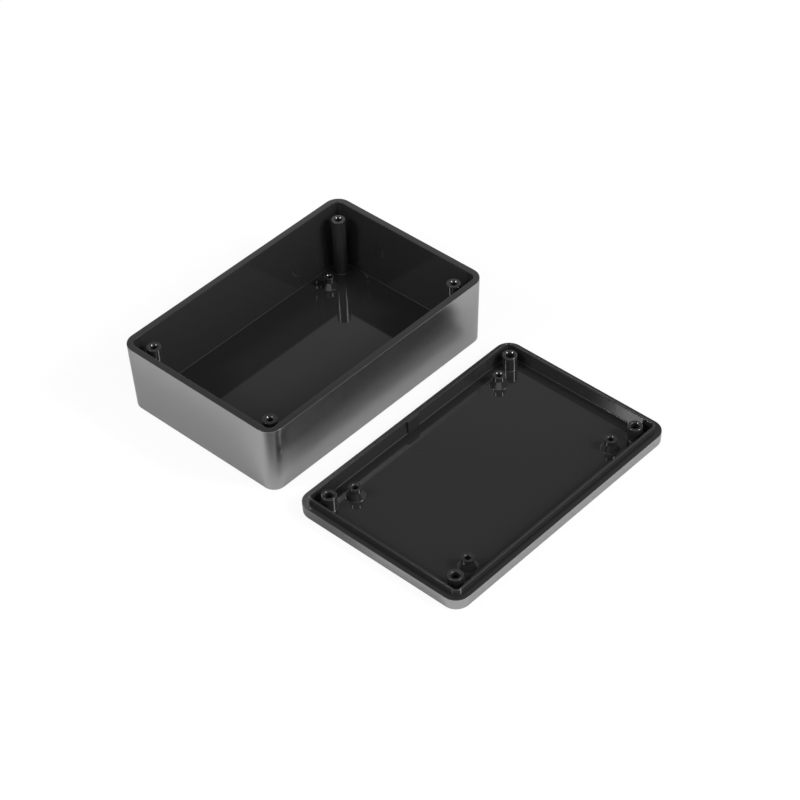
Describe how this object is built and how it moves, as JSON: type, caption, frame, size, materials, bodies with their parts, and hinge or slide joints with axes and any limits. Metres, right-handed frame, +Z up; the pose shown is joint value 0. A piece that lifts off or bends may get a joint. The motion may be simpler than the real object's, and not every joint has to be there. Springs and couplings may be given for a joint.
{
  "type": "plastic project box",
  "caption": "Black ABS electronics enclosure: a drafted rectangular box with corner screw posts and board bosses, and its lipped lid lying beside it, inside up.",
  "frame": {"origin": "middle of the box's underside, on the surface that the box and its lid rest on", "axes": "+Z up, out of the box's open top; +X along the long side; the lid lies on the -Y side"},
  "size_m": [0.1204, 0.171, 0.031],
  "materials": {
    "abs_black": "black ABS, fine satin outside and polished inside"
  },
  "bodies": {
    "root": {"box_body": "abs_black", "lid": "abs_black"}
  },
  "joints": []
}
